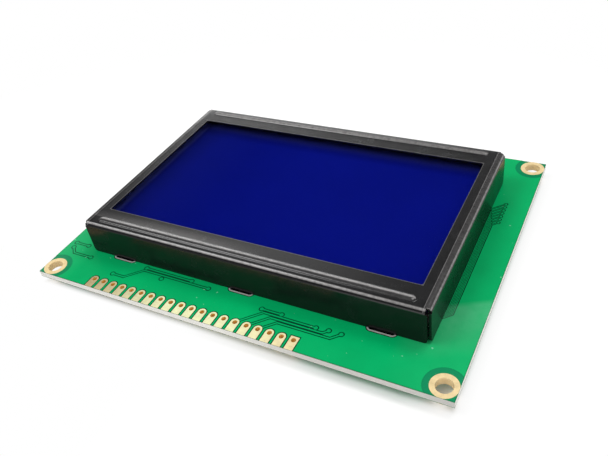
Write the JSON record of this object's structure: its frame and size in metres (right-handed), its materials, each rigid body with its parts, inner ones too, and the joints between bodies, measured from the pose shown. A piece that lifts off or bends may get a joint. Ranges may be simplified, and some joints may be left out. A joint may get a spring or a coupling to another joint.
{
  "type": "graphic lcd module",
  "caption": "Flat graphic liquid crystal display module: green circuit board with plated corner holes and edge header pads, carrying a black folded steel bezel round a deep blue window.",
  "frame": {"origin": "under the middle of the board, on the plane of the tab tips that the module rests on", "axes": "+X along the header edge to the right, +Y from the header edge to the rear edge, +Z out of the display face"},
  "size_m": [0.093, 0.07, 0.0116],
  "materials": {
    "solder_mask": "satin green solder mask over laminate and copper",
    "gold_plate": "thin gold plate, slightly dull",
    "tin_solder": "tinned copper and solder, uneven",
    "black_paint": "satin black paint on folded sheet steel",
    "polarizer": "clear hard-coated polarizer film with a deep blue cast",
    "display_glass": "clear float glass with ground edges",
    "elastomer": "silicone elastomer with fine conductive layers",
    "white_resin": "white moulded resin and white film",
    "clear_acrylic": "clear acrylic light guide",
    "bare_laminate": "uncoated glass-fibre laminate",
    "silicon": "sawn silicon die",
    "epoxy": "black encapsulating epoxy, softly glossy",
    "black_ceramic": "chip resistor with black overglaze",
    "tan_ceramic": "chip capacitor ceramic"
  },
  "bodies": {
    "root": {"pcb": "solder_mask", "header_pads": "gold_plate", "mounting_rings": "gold_plate", "slot_rims": "tin_solder", "bezel": "black_paint", "front_polarizer": "polarizer", "front_glass": "display_glass", "rear_glass": "display_glass", "rear_polarizer": "polarizer", "front_connector_strip": "elastomer", "rear_connector_strip": "elastomer", "backlight_frame": "white_resin", "diffuser_sheet": "white_resin", "light_guide": "clear_acrylic", "reflector_sheet": "white_resin", "led_board": "bare_laminate", "leds": "white_resin", "backlight_pins": "tin_solder", "backlight_lands": "gold_plate", "backlight_solder": "tin_solder", "controller_die": "silicon", "driver_dies": "silicon", "controller_dome": "epoxy", "left_driver_dome": "epoxy", "right_driver_dome": "epoxy", "chip_resistors": "black_ceramic", "resistor_caps": "tin_solder", "chip_capacitors": "tan_ceramic", "capacitor_caps": "tin_solder", "chip_solder": "tin_solder"}
  },
  "joints": []
}
